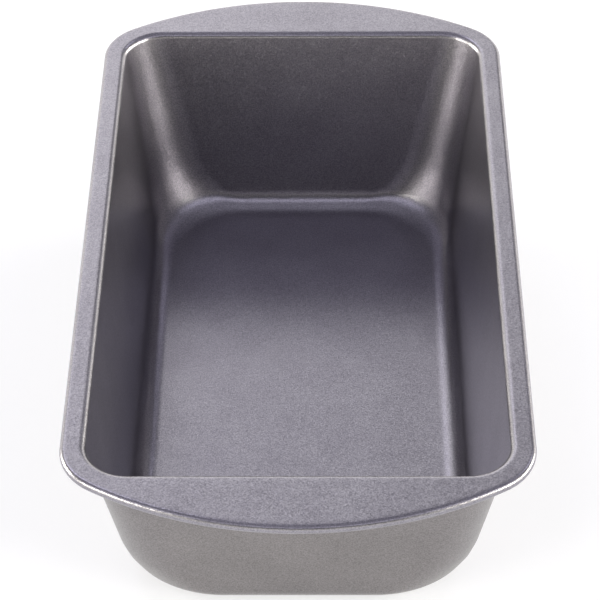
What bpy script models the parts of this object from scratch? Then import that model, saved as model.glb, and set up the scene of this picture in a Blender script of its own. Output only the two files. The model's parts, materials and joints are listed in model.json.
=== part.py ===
"""Loaf pan: a drawn steel pan with a grip at each end, its edge rolled round a stiffening wire.

Metres, +Z up. The origin is under the middle of the base, and the long axis runs along Y.
"""

import math

import bmesh
import bpy

# Driving dimensions of the pan, on the faces that the baker sees.
OPENING_WIDTH = 0.1270
OPENING_LENGTH = 0.2286
DEPTH = 0.0680
SHEET = 0.0005
SIDE_LEAN = 0.0098
END_LEAN = 0.0132
OPENING_CORNER = 0.0135
FLOOR_CORNER = 0.0210
CORNER_FLARE = 0.0120
FLARE_HEIGHT = 0.0200
FLOOR_FILLET = 0.0075
RIM_FILLET = 0.0021

# The flange, whose ends bow out into the two grips.
FLANGE_WIDTH = 0.1419
OVERALL_LENGTH = 0.2730
FLANGE_CORNER = 0.0199
GRIP_ARC = 0.1162

# The rolled edge and the wire inside it.
ROLL_RADIUS = 0.0016
ROLL_TURN = math.radians(285)
WIRE_RADIUS = 0.0008
WIRE_END_GAP = 0.0010

# How finely the curved faces are divided.
CORNER_STEPS = 8
GRIP_STEPS = 6
FILLET_STEPS = 5
RIM_STEPS = 4
WALL_STEPS = 5
ROLL_STEPS = 10
WIRE_SIDES = 2
MERGE = 0.00001

RIM_HEIGHT = SHEET + DEPTH
MEAN_LEAN = (SIDE_LEAN + END_LEAN) / 2


def clear_scene():
    for item in list(bpy.data.objects):
        bpy.data.objects.remove(item, do_unlink=True)


def quarter_outline(half_x, half_y, corner, grip=math.inf):
    """(x, y) points from the middle of a long side round one corner to the middle of an end.

    The corner is an arc of radius corner. The end is straight, or an arc of radius grip about a
    centre on the long axis, which the corner's arc meets without a kink.
    """
    centre_x = half_x - corner
    if math.isinf(grip):
        turn = math.pi / 2
        centre_y = half_y - corner
    else:
        turn = math.acos(centre_x / (grip - corner))
        centre_y = half_y - grip + (grip - corner) * math.sin(turn)
    points = [(half_x, 0.0)]
    for step in range(CORNER_STEPS + 1):
        angle = turn * step / CORNER_STEPS
        points.append((centre_x + corner * math.cos(angle), centre_y + corner * math.sin(angle)))
    for step in range(1, GRIP_STEPS + 1):
        share = step / GRIP_STEPS
        if math.isinf(grip):
            points.append((centre_x * (1 - share), half_y))
            continue
        angle = turn + (math.pi / 2 - turn) * share
        points.append((grip * math.cos(angle), half_y - grip + grip * math.sin(angle)))
    points[-1] = (0.0, half_y)
    return points


def inset(height, lean):
    """How far the inside face stands in from the opening's edge at a height above the floor.

    The wall leans in by lean over the whole depth. A fillet joins it to the floor and another
    one to the flange.
    """
    slope = math.atan2(lean, DEPTH)
    tangent = math.tan((math.pi / 2 - slope) / 2)
    if height < FLOOR_FILLET * (1 - math.sin(slope)):
        rise = FLOOR_FILLET - height
        return lean + FLOOR_FILLET * tangent - math.sqrt(FLOOR_FILLET**2 - rise**2)
    below_rim = DEPTH - height
    if below_rim < RIM_FILLET * (1 - math.sin(slope)):
        drop = RIM_FILLET - below_rim
        return math.sqrt(RIM_FILLET**2 - drop**2) - RIM_FILLET * tangent
    return lean * below_rim / DEPTH


def cavity_outline(height):
    """Quarter outline of the inside face at a height above the floor."""
    share = 1 - height / DEPTH
    fillet = inset(height, MEAN_LEAN) - MEAN_LEAN * share
    flare = CORNER_FLARE * max(0.0, 1 - height / FLARE_HEIGHT) ** 2
    corner = OPENING_CORNER + (FLOOR_CORNER - OPENING_CORNER) * share + flare - fillet
    half_x = OPENING_WIDTH / 2 - inset(height, SIDE_LEAN)
    half_y = OPENING_LENGTH / 2 - inset(height, END_LEAN)
    return quarter_outline(half_x, half_y, corner)


def edge_outline(offset):
    """Quarter outline parallel to the centre line of the rolled edge, offset outwards."""
    from_edge = offset - ROLL_RADIUS
    return quarter_outline(
        FLANGE_WIDTH / 2 + from_edge,
        OVERALL_LENGTH / 2 + from_edge,
        FLANGE_CORNER + from_edge,
        GRIP_ARC + from_edge,
    )


def cavity_heights():
    """Heights above the floor where the inside face needs a ring of points."""
    bend = math.pi / 2 - math.atan2(SIDE_LEAN, DEPTH)
    angles = [bend * step / FILLET_STEPS for step in range(FILLET_STEPS + 1)]
    heights = [FLOOR_FILLET * (1 - math.cos(angle)) for angle in angles]
    wall_foot = heights[-1]
    wall_head = DEPTH - RIM_FILLET * (1 - math.cos(bend))
    for step in range(1, WALL_STEPS + 1):
        heights.append(wall_foot + (wall_head - wall_foot) * step / WALL_STEPS)
    for step in range(1, RIM_STEPS + 1):
        angle = bend * (1 - step / RIM_STEPS)
        heights.append(DEPTH - RIM_FILLET * (1 - math.cos(angle)))
    return heights


def shell_rings():
    """Quarter rings of (x, y, z) points, from the edge of the flat floor to the sheet's cut edge."""
    rings = []
    for height in cavity_heights():
        rings.append([(x, y, SHEET + height) for x, y in cavity_outline(height)])
    for step in range(ROLL_STEPS + 1):
        angle = ROLL_TURN * step / ROLL_STEPS
        z = RIM_HEIGHT - ROLL_RADIUS * (1 - math.cos(angle))
        rings.append([(x, y, z) for x, y in edge_outline(ROLL_RADIUS * math.sin(angle))])
    return rings


def steel_material(name, color, metallic, roughness):
    material = bpy.data.materials.new(name)
    material.use_nodes = True
    shader = material.node_tree.nodes["Principled BSDF"]
    shader.inputs["Base Color"].default_value = (*color, 1.0)
    shader.inputs["Metallic"].default_value = metallic
    shader.inputs["Roughness"].default_value = roughness
    material.diffuse_color = (*color, 1.0)
    return material


def add_object(name, data, collection, material):
    item = bpy.data.objects.new(name, data)
    item.data.materials.append(material)
    collection.objects.link(item)
    return item


def quarter_surface():
    """The upper face of one quarter of the sheet, open at both mirror planes."""
    mesh = bpy.data.meshes.new("pan_shell")
    surface = bmesh.new()
    rings = [[surface.verts.new(point) for point in ring] for ring in shell_rings()]
    middle = surface.verts.new((0.0, 0.0, SHEET))
    surface.faces.new([middle, *rings[0]])
    for lower, upper in zip(rings, rings[1:]):
        for i in range(len(lower) - 1):
            surface.faces.new((lower[i], upper[i], upper[i + 1], lower[i + 1]))
    surface.normal_update()
    surface.to_mesh(mesh)
    surface.free()
    return mesh


def pan_shell(collection):
    """The drawn sheet: floor, walls, flange with both grips, and rolled edge, all one blank."""
    coating = steel_material("satin_coated_steel", (0.23, 0.22, 0.25), 0.9, 0.36)
    shell = add_object("pan_shell", quarter_surface(), collection, coating)
    mirror = shell.modifiers.new("Both halves", "MIRROR")
    mirror.use_axis = (True, True, False)
    mirror.merge_threshold = MERGE
    thicken = shell.modifiers.new("Sheet thickness", "SOLIDIFY")
    thicken.thickness = SHEET
    thicken.offset = -1.0
    thicken.use_even_offset = True
    shell.data.shade_smooth()
    return shell


def wire_path():
    """(x, y) points once round the middle of the roll, from one wire end to the other."""
    quarter = edge_outline(0.0)
    half = quarter + [(-x, y) for x, y in reversed(quarter[:-1])]
    loop = half + [(x, -y) for x, y in reversed(half[:-1])]
    start_x = loop[0][0]
    return [(start_x, WIRE_END_GAP / 2), *loop[1:-1], (start_x, -WIRE_END_GAP / 2)]


def rim_wire(collection):
    """The wire that stiffens the edge, bent round the rim, its two ends meeting on a long side."""
    steel = steel_material("zinc_plated_wire", (0.55, 0.56, 0.58), 1.0, 0.40)
    curve = bpy.data.curves.new("rim_wire", "CURVE")
    curve.dimensions = "3D"
    curve.bevel_depth = WIRE_RADIUS
    curve.bevel_resolution = WIRE_SIDES
    curve.use_fill_caps = True
    path = wire_path()
    spline = curve.splines.new("POLY")
    spline.points.add(len(path) - 1)
    for point, (x, y) in zip(spline.points, path):
        point.co = (x, y, RIM_HEIGHT - ROLL_RADIUS, 1.0)
    return add_object("rim_wire", curve, collection, steel)


def main():
    clear_scene()
    collection = bpy.data.collections.new("loaf_pan")
    bpy.context.scene.collection.children.link(collection)
    pan_shell(collection)
    rim_wire(collection)


main()
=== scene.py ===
import json
import math

import bmesh
import bpy
from mathutils import Matrix, Vector


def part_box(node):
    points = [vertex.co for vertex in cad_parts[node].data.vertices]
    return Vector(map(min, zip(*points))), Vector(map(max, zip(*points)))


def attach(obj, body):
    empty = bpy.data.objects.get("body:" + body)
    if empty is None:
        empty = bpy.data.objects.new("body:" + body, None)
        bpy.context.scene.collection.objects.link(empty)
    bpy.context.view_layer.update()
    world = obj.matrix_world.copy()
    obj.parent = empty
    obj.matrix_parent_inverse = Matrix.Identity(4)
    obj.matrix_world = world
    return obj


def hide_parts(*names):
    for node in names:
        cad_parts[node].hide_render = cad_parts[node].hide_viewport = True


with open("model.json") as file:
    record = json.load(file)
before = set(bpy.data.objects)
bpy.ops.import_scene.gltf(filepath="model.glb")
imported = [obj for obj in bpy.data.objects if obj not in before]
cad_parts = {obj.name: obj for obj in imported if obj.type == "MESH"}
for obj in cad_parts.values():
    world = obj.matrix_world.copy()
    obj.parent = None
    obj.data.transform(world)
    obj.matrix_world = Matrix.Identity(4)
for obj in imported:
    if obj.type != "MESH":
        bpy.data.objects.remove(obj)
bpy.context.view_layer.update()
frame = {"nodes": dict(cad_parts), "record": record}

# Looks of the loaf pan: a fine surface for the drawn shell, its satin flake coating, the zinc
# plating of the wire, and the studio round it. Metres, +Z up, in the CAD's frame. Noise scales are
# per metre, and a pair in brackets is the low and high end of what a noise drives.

# Sizes that the frame gives.
LOW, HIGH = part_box("pan_shell")
RIM_HEIGHT = HIGH.z
FLANGE_WIDTH = HIGH.x - LOW.x
OVERALL_LENGTH = HIGH.y - LOW.y
FLOOR_TOP = Vector(next(m for m in frame["record"]["mounts"] if m["name"] == "floor_top")["pos_m"]).z

# The shell's other sizes, as its design has them.
SHEET = FLOOR_TOP
DEPTH = RIM_HEIGHT - FLOOR_TOP
OPENING_WIDTH = 0.1270
OPENING_LENGTH = 0.2286
SIDE_LEAN = 0.0098
END_LEAN = 0.0132
OPENING_CORNER = 0.0135
FLOOR_CORNER = 0.0210
CORNER_FLARE = 0.0120
FLARE_HEIGHT = 0.0200
FLOOR_FILLET = 0.0075
RIM_FILLET = 0.0021
FLANGE_CORNER = 0.0199
GRIP_ARC = 0.1162
ROLL_RADIUS = 0.0016
ROLL_TURN = math.radians(285)
MEAN_LEAN = (SIDE_LEAN + END_LEAN) / 2

# How finely each stretch of the shell is divided.
SIDE_STEPS = 24
CORNER_STEPS = 36
GRIP_STEPS = 36
FLOOR_STEPS = 10
FILLET_STEPS = 18
WALL_STEPS = 10
RIM_STEPS = 12
FLANGE_SHARES = (0.08, 0.50, 0.92)
ROLL_STEPS = 32

# The stretch of a noise's values that is spread over what it drives. Values past it are clamped.
NOISE_LOW = 0.3
NOISE_HIGH = 0.7

# The coating: its film and clouding, its grain, its metal flakes and its gloss.
INSIDE_FILM = ((0.290, 0.278, 0.310), (0.330, 0.318, 0.350))
OUTSIDE_FILM = ((0.235, 0.222, 0.222), (0.265, 0.250, 0.250))
CLOUDS_PER_METRE = 60.0
GRAIN_PER_METRE = 2300.0
GRAIN_DEPTH = (0.78, 1.22)
FLAKES_PER_METRE = 2600.0
FLAKE_TILT = 0.08
GLOSS_PER_METRE = 25.0
COATING_ROUGHNESS = (0.29, 0.32)

# The wire's zinc plating: its spangle, its gloss and the fine bumps on it.
ZINC = ((0.48, 0.49, 0.51), (0.62, 0.63, 0.65))
SPANGLE_PER_METRE = 900.0
DULLNESS_PER_METRE = 400.0
ZINC_ROUGHNESS = (0.34, 0.50)
BUMPS_PER_METRE = 2500.0
BUMP_HEIGHT = 0.00003
BUMP_STRENGTH = 0.5

# The camera: its place, its three angles, its lens and sensor (mm), and how near it sees.
CAMERA_PLACE = Vector((0.00794, -0.64343, 0.58254))
CAMERA_DOWN = math.radians(40.20)
CAMERA_TURN = math.radians(0.73)
CAMERA_TILT = math.radians(-0.53)
CAMERA_LENS = 150.65
SENSOR = 36.0
NEAREST_SEEN = 0.01

# The studio's lights: turn, rise, width, height (degrees), strength and colour of each softbox.
WARM = (1.0, 0.98, 0.86)
NEUTRAL = (1.0, 0.99, 1.0)
COOL = (0.93, 0.91, 1.08)
SOFTBOXES = {
    "left": (-120, 22, 26, 10, 22.0, WARM),
    "right": (115, 21, 20, 11, 30.0, WARM),
    "left_low": (-72, 13, 25, 26, 13.5, WARM),
    "right_low": (75, 14, 38, 10, 24.0, WARM),
    "back_low": (0, 15, 90, 14, 1.2, NEUTRAL),
    "back": (-16, 34, 50, 23, 1.62, NEUTRAL),
    "back_right_high": (40, 47, 12, 10, 6.5, COOL),
    "back_left_high": (-30, 54, 20, 9, 6.5, COOL),
    "front_high": (180, 48, 180, 5, 2.6, COOL),
}
SIDE_FADE = 20.0
RISE_FADE = 14.0

# The rest of the sky is brightest at the horizon and dims up to HAZE_RISE; from there on another
# light grows up to the point overhead.
HORIZON = 1.7
OVERHEAD = 0.5
HAZE_RISE = 25.0
ZENITH = 90.0

# The studio's floor, which gives some light of its own.
FLOOR_RADIUS = 6.0
FLOOR_SIDES = 96
FLOOR_COLOUR = (0.45, 0.45, 0.48)
FLOOR_GLOW = 0.55
FLOOR_ROUGHNESS = 0.9
FLOOR_SPECULAR = 0.1


def quarter_outline(half_x, half_y, corner, grip=math.inf):
    """(x, y) points from the middle of a long side round one corner to the middle of an end."""
    centre_x = half_x - corner
    if math.isinf(grip):
        turn = math.pi / 2
        centre_y = half_y - corner
    else:
        turn = math.acos(centre_x / (grip - corner))
        centre_y = half_y - grip + (grip - corner) * math.sin(turn)
    points = [(half_x, centre_y * step / SIDE_STEPS) for step in range(SIDE_STEPS)]
    for step in range(CORNER_STEPS + 1):
        angle = turn * step / CORNER_STEPS
        points.append((centre_x + corner * math.cos(angle), centre_y + corner * math.sin(angle)))
    for step in range(1, GRIP_STEPS + 1):
        share = step / GRIP_STEPS
        if math.isinf(grip):
            points.append((centre_x * (1 - share), half_y))
            continue
        angle = turn + (math.pi / 2 - turn) * share
        points.append((grip * math.cos(angle), half_y - grip + grip * math.sin(angle)))
    points[-1] = (0.0, half_y)
    return points


def whole_ring(quarter, z):
    """The closed ring of points that a quarter outline and its mirror images make at height z."""
    half = quarter + [(-x, y) for x, y in reversed(quarter[:-1])]
    loop = half + [(x, -y) for x, y in reversed(half[1:-1])]
    return [Vector((x, y, z)) for x, y in loop]


def inset(height, lean):
    """How far the inside face stands in from the opening's edge at a height above the floor."""
    slope = math.atan2(lean, DEPTH)
    tangent = math.tan((math.pi / 2 - slope) / 2)
    if height < FLOOR_FILLET * (1 - math.sin(slope)):
        rise = FLOOR_FILLET - height
        return lean + FLOOR_FILLET * tangent - math.sqrt(FLOOR_FILLET**2 - rise**2)
    below_rim = DEPTH - height
    if below_rim < RIM_FILLET * (1 - math.sin(slope)):
        drop = max(RIM_FILLET - below_rim, 0.0)
        return math.sqrt(max(RIM_FILLET**2 - drop**2, 0.0)) - RIM_FILLET * tangent
    return lean * below_rim / DEPTH


def cavity_sizes(height):
    """Half width, half length and corner radius of the inside face at a height above the floor."""
    share = 1 - height / DEPTH
    fillet = inset(height, MEAN_LEAN) - MEAN_LEAN * share
    flare = CORNER_FLARE * max(0.0, 1 - height / FLARE_HEIGHT) ** 2
    corner = OPENING_CORNER + (FLOOR_CORNER - OPENING_CORNER) * share + flare - fillet
    half_x = OPENING_WIDTH / 2 - inset(height, SIDE_LEAN)
    half_y = OPENING_LENGTH / 2 - inset(height, END_LEAN)
    return half_x, half_y, corner


def edge_sizes(offset):
    """Sizes of the outline that runs parallel to the middle of the rolled edge."""
    out = offset - ROLL_RADIUS
    return (
        FLANGE_WIDTH / 2 + out,
        OVERALL_LENGTH / 2 + out,
        FLANGE_CORNER + out,
        GRIP_ARC + out,
    )


def cavity_heights():
    """Heights above the floor of the rings of the inside face, from the flat floor to the flange."""
    bend = math.pi / 2 - math.atan2(SIDE_LEAN, DEPTH)
    angles = [bend * step / FILLET_STEPS for step in range(FILLET_STEPS + 1)]
    heights = [FLOOR_FILLET * (1 - math.cos(angle)) for angle in angles]
    wall_foot = heights[-1]
    wall_head = DEPTH - RIM_FILLET * (1 - math.cos(bend))
    for step in range(1, WALL_STEPS + 1):
        heights.append(wall_foot + (wall_head - wall_foot) * step / WALL_STEPS)
    for step in range(1, RIM_STEPS + 1):
        angle = bend * (1 - step / RIM_STEPS)
        heights.append(DEPTH - RIM_FILLET * (1 - math.cos(angle)))
    return heights


def floor_rings():
    """Rings that fill the flat floor, each the size of its edge times a share that grows."""
    edge = quarter_outline(*cavity_sizes(0.0))
    shares = [math.sin(math.pi / 2 * (step + 1) / (FLOOR_STEPS + 1)) for step in range(FLOOR_STEPS)]
    return [whole_ring([(x * share, y * share) for x, y in edge], FLOOR_TOP) for share in shares]


def flange_rings(inner, outer):
    """Rings across the flat flange between its two edges, close to each edge and halfway."""
    rings = []
    for share in FLANGE_SHARES:
        rings.append([a.lerp(b, share) for a, b in zip(inner, outer)])
    return rings


def roll_rings():
    """Rings round the rolled edge, from the flat flange down, out, under and in to the cut edge."""
    rings = []
    for step in range(ROLL_STEPS + 1):
        angle = ROLL_TURN * step / ROLL_STEPS
        z = RIM_HEIGHT - ROLL_RADIUS * (1 - math.cos(angle))
        rings.append(whole_ring(quarter_outline(*edge_sizes(ROLL_RADIUS * math.sin(angle))), z))
    return rings


def shell_rings():
    """All rings of the upper face of the sheet, from the middle of the floor to the cut edge."""
    cavity = []
    for height in cavity_heights():
        cavity.append(whole_ring(quarter_outline(*cavity_sizes(height)), FLOOR_TOP + height))
    roll = roll_rings()
    return floor_rings() + cavity + flange_rings(cavity[-1], roll[0]) + roll


def sheet_surface():
    """The upper face of the sheet as one open, fine surface."""
    mesh = bpy.data.meshes.new("drawn_shell")
    surface = bmesh.new()
    rings = [[surface.verts.new(point) for point in ring] for ring in shell_rings()]
    middle = surface.verts.new((0.0, 0.0, FLOOR_TOP))
    count = len(rings[0])
    for i in range(count):
        surface.faces.new((middle, rings[0][i], rings[0][(i + 1) % count]))
    for lower, upper in zip(rings, rings[1:]):
        for i in range(count):
            j = (i + 1) % count
            surface.faces.new((lower[i], upper[i], upper[j], lower[j]))
    for face in surface.faces:
        face.smooth = True
    surface.normal_update()
    surface.to_mesh(mesh)
    surface.free()
    return mesh


class Shader:
    """A material's node tree, with short calls for adding nodes and linking them."""

    def __init__(self, name):
        self.material = bpy.data.materials.new(name)
        self.material.use_nodes = True
        self.tree = self.material.node_tree
        self.surface = self.tree.nodes["Principled BSDF"]
        self.place = self.add("ShaderNodeTexCoord").outputs["Object"]

    def add(self, kind, **settings):
        node = self.tree.nodes.new(kind)
        for key, value in settings.items():
            setattr(node, key, value)
        return node

    def link(self, source, target):
        self.tree.links.new(source, target)

    def noise(self, scale, detail):
        node = self.add("ShaderNodeTexNoise")
        node.inputs["Scale"].default_value = scale
        node.inputs["Detail"].default_value = detail
        self.link(self.place, node.inputs["Vector"])
        return node.outputs["Fac"]

    def cells(self, scale):
        """A random colour for each cell of a packed pattern."""
        node = self.add("ShaderNodeTexVoronoi")
        node.inputs["Scale"].default_value = scale
        self.link(self.place, node.inputs["Vector"])
        return node.outputs["Color"]

    def between(self, factor, low, high):
        """A value that runs from low to high as a noise runs over its usual range."""
        node = self.add("ShaderNodeMapRange")
        node.inputs["From Min"].default_value = NOISE_LOW
        node.inputs["From Max"].default_value = NOISE_HIGH
        node.inputs["To Min"].default_value = low
        node.inputs["To Max"].default_value = high
        self.link(factor, node.inputs["Value"])
        return node.outputs["Result"]

    def blend_colour(self, factor, first, second):
        node = self.add("ShaderNodeMix", data_type="RGBA")
        node.inputs["A"].default_value = (*first, 1.0)
        node.inputs["B"].default_value = (*second, 1.0)
        self.link(factor, node.inputs["Factor"])
        return node.outputs["Result"]

    def scaled(self, vector, scale):
        """A vector or colour times a number, which is either fixed or another node's output."""
        node = self.add("ShaderNodeVectorMath", operation="SCALE")
        self.link(vector, node.inputs[0])
        if isinstance(scale, bpy.types.NodeSocket):
            self.link(scale, node.inputs["Scale"])
        else:
            node.inputs["Scale"].default_value = scale
        return node.outputs["Vector"]


def flake_normal(shader):
    """The surface's normal, tilted by a small random amount that differs from flake to flake."""
    centred = shader.add("ShaderNodeVectorMath", operation="SUBTRACT")
    centred.inputs[1].default_value = (0.5, 0.5, 0.5)
    shader.link(shader.cells(FLAKES_PER_METRE), centred.inputs[0])
    geometry = shader.add("ShaderNodeNewGeometry")
    tilted = shader.add("ShaderNodeVectorMath", operation="ADD")
    shader.link(geometry.outputs["Normal"], tilted.inputs[0])
    shader.link(shader.scaled(centred.outputs["Vector"], FLAKE_TILT), tilted.inputs[1])
    unit = shader.add("ShaderNodeVectorMath", operation="NORMALIZE")
    shader.link(tilted.outputs["Vector"], unit.inputs[0])
    return unit.outputs["Vector"]


def coating(name, dark, light):
    """Satin non-stick coating: fine metal flakes, each tilted a little its own way, in a grey film."""
    shader = Shader(name)
    surface = shader.surface
    surface.inputs["Metallic"].default_value = 1.0
    clouds = shader.between(shader.noise(CLOUDS_PER_METRE, detail=4.0), 0.0, 1.0)
    film = shader.blend_colour(clouds, dark, light)
    grain = shader.between(shader.noise(GRAIN_PER_METRE, detail=1.0), *GRAIN_DEPTH)
    shader.link(shader.scaled(film, grain), surface.inputs["Base Color"])
    roughness = shader.between(shader.noise(GLOSS_PER_METRE, detail=3.0), *COATING_ROUGHNESS)
    shader.link(roughness, surface.inputs["Roughness"])
    shader.link(flake_normal(shader), surface.inputs["Normal"])
    return shader.material


def zinc_plating():
    """Dull plated steel wire with the faint mottling of zinc."""
    shader = Shader("zinc_plating")
    surface = shader.surface
    surface.inputs["Metallic"].default_value = 1.0
    spangle = shader.between(shader.noise(SPANGLE_PER_METRE, detail=2.0), 0.0, 1.0)
    shader.link(shader.blend_colour(spangle, *ZINC), surface.inputs["Base Color"])
    roughness = shader.between(shader.noise(DULLNESS_PER_METRE, detail=3.0), *ZINC_ROUGHNESS)
    shader.link(roughness, surface.inputs["Roughness"])
    bump = shader.add("ShaderNodeBump")
    bump.inputs["Distance"].default_value = BUMP_HEIGHT
    bump.inputs["Strength"].default_value = BUMP_STRENGTH
    shader.link(shader.noise(BUMPS_PER_METRE, detail=2.0), bump.inputs["Height"])
    shader.link(bump.outputs["Normal"], surface.inputs["Normal"])
    return shader.material


def drawn_shell():
    """The pan itself, a sheet with one coating on its upper face and another on the rest."""
    shell = bpy.data.objects.new("drawn_shell", sheet_surface())
    bpy.context.scene.collection.objects.link(shell)
    shell.data.materials.append(coating("inside_coating", *INSIDE_FILM))
    shell.data.materials.append(coating("outside_coating", *OUTSIDE_FILM))
    thicken = shell.modifiers.new("Sheet thickness", "SOLIDIFY")
    thicken.thickness = SHEET
    thicken.offset = -1.0
    thicken.use_even_offset = True
    thicken.material_offset = 1
    thicken.material_offset_rim = 1
    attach(shell, "root")
    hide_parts("pan_shell")


def dress_wire():
    """The wire keeps its CAD solid and gets its plating."""
    wire = frame["nodes"]["rim_wire"]
    wire.data.materials.clear()
    wire.data.materials.append(zinc_plating())


def studio_floor():
    """A plain pale disc that the pan stands on."""
    mesh = bpy.data.meshes.new("studio_floor")
    surface = bmesh.new()
    bmesh.ops.create_circle(surface, cap_ends=True, segments=FLOOR_SIDES, radius=FLOOR_RADIUS)
    surface.to_mesh(mesh)
    surface.free()
    floor = bpy.data.objects.new("studio_floor", mesh)
    bpy.context.scene.collection.objects.link(floor)
    material = bpy.data.materials.new("studio_floor")
    material.use_nodes = True
    shader = material.node_tree.nodes["Principled BSDF"]
    shader.inputs["Base Color"].default_value = (*FLOOR_COLOUR, 1.0)
    shader.inputs["Roughness"].default_value = FLOOR_ROUGHNESS
    shader.inputs["Specular IOR Level"].default_value = FLOOR_SPECULAR
    shader.inputs["Emission Color"].default_value = (1.0, 1.0, 1.0, 1.0)
    shader.inputs["Emission Strength"].default_value = FLOOR_GLOW
    mesh.materials.append(material)


class Sky:
    """The world's node tree: soft panels of light, each placed by its direction from the pan."""

    def __init__(self):
        self.world = bpy.data.worlds.new("studio")
        self.world.use_nodes = True
        self.tree = self.world.node_tree
        place = self.tree.nodes.new("ShaderNodeTexCoord")
        split = self.tree.nodes.new("ShaderNodeSeparateXYZ")
        self.tree.links.new(place.outputs["Generated"], split.inputs["Vector"])
        turned = self.math("ARCTAN2", split.outputs["X"], split.outputs["Y"])
        self.turn = self.math("DEGREES", turned)
        self.rise = self.math("DEGREES", self.math("ARCSINE", split.outputs["Z"]))
        self.light = None

    def math(self, operation, *values):
        node = self.tree.nodes.new("ShaderNodeMath")
        node.operation = operation
        for socket, value in zip(node.inputs, values):
            if isinstance(value, bpy.types.NodeSocket):
                self.tree.links.new(value, socket)
            else:
                socket.default_value = value
        return node.outputs["Value"]

    def fading(self, value, start, end, kind="SMOOTHSTEP"):
        """1 up to start, and from there down to 0 at end."""
        node = self.tree.nodes.new("ShaderNodeMapRange")
        node.interpolation_type = kind
        node.inputs["From Min"].default_value = start
        node.inputs["From Max"].default_value = end
        node.inputs["To Min"].default_value = 1.0
        node.inputs["To Max"].default_value = 0.0
        self.tree.links.new(value, node.inputs["Value"])
        return node.outputs["Result"]

    def add(self, amount, strength, colour):
        """Adds light of one colour to the sky, as much as amount says in each direction."""
        scaled = self.tree.nodes.new("ShaderNodeVectorMath")
        scaled.operation = "SCALE"
        scaled.inputs[0].default_value = [strength * part for part in colour]
        self.tree.links.new(amount, scaled.inputs["Scale"])
        light = scaled.outputs["Vector"]
        if self.light is not None:
            both = self.tree.nodes.new("ShaderNodeVectorMath")
            both.operation = "ADD"
            self.tree.links.new(self.light, both.inputs[0])
            self.tree.links.new(light, both.inputs[1])
            light = both.outputs["Vector"]
        self.light = light

    def softbox(self, turn, rise, width, height, strength, colour):
        """A panel with soft edges: turn is its direction seen from above, 0 behind the pan and 90 on
        its right, and rise its height above the horizon. Both are in degrees, as are its width and
        height."""
        turned = self.math("WRAP", self.math("SUBTRACT", self.turn, turn), 180.0, -180.0)
        aside = self.math("ABSOLUTE", turned)
        above = self.math("ABSOLUTE", self.math("SUBTRACT", self.rise, rise))
        across = self.fading(aside, (width - SIDE_FADE) / 2, (width + SIDE_FADE) / 2)
        upward = self.fading(above, (height - RISE_FADE) / 2, (height + RISE_FADE) / 2)
        self.add(self.math("MULTIPLY", across, upward), strength, colour)

    def finish(self):
        self.tree.links.new(self.light, self.tree.nodes["Background"].inputs["Color"])
        bpy.context.scene.world = self.world


def surroundings():
    """The studio: strong softboxes at the sides, weaker ones behind and in front, a pale horizon."""
    sky = Sky()
    sky.add(sky.fading(sky.rise, 0.0, HAZE_RISE, "LINEAR"), HORIZON, WARM)
    sky.add(sky.fading(sky.rise, ZENITH, HAZE_RISE, "LINEAR"), OVERHEAD, COOL)
    for panel in SOFTBOXES.values():
        sky.softbox(*panel)
    sky.finish()


def camera():
    """The camera, which looks down at the pan over its near end."""
    data = bpy.data.cameras.new("camera")
    data.lens = CAMERA_LENS
    data.sensor_width = SENSOR
    data.clip_start = NEAREST_SEEN
    eye = bpy.data.objects.new("camera", data)
    aim = Matrix.Rotation(CAMERA_TURN, 4, "Z") @ Matrix.Rotation(math.pi / 2 - CAMERA_DOWN, 4, "X")
    eye.matrix_world = Matrix.Translation(CAMERA_PLACE) @ aim @ Matrix.Rotation(CAMERA_TILT, 4, "Z")
    bpy.context.scene.collection.objects.link(eye)
    bpy.context.scene.camera = eye


bpy.context.scene.view_settings.view_transform = "Standard"
camera()
surroundings()
studio_floor()
drawn_shell()
dress_wire()
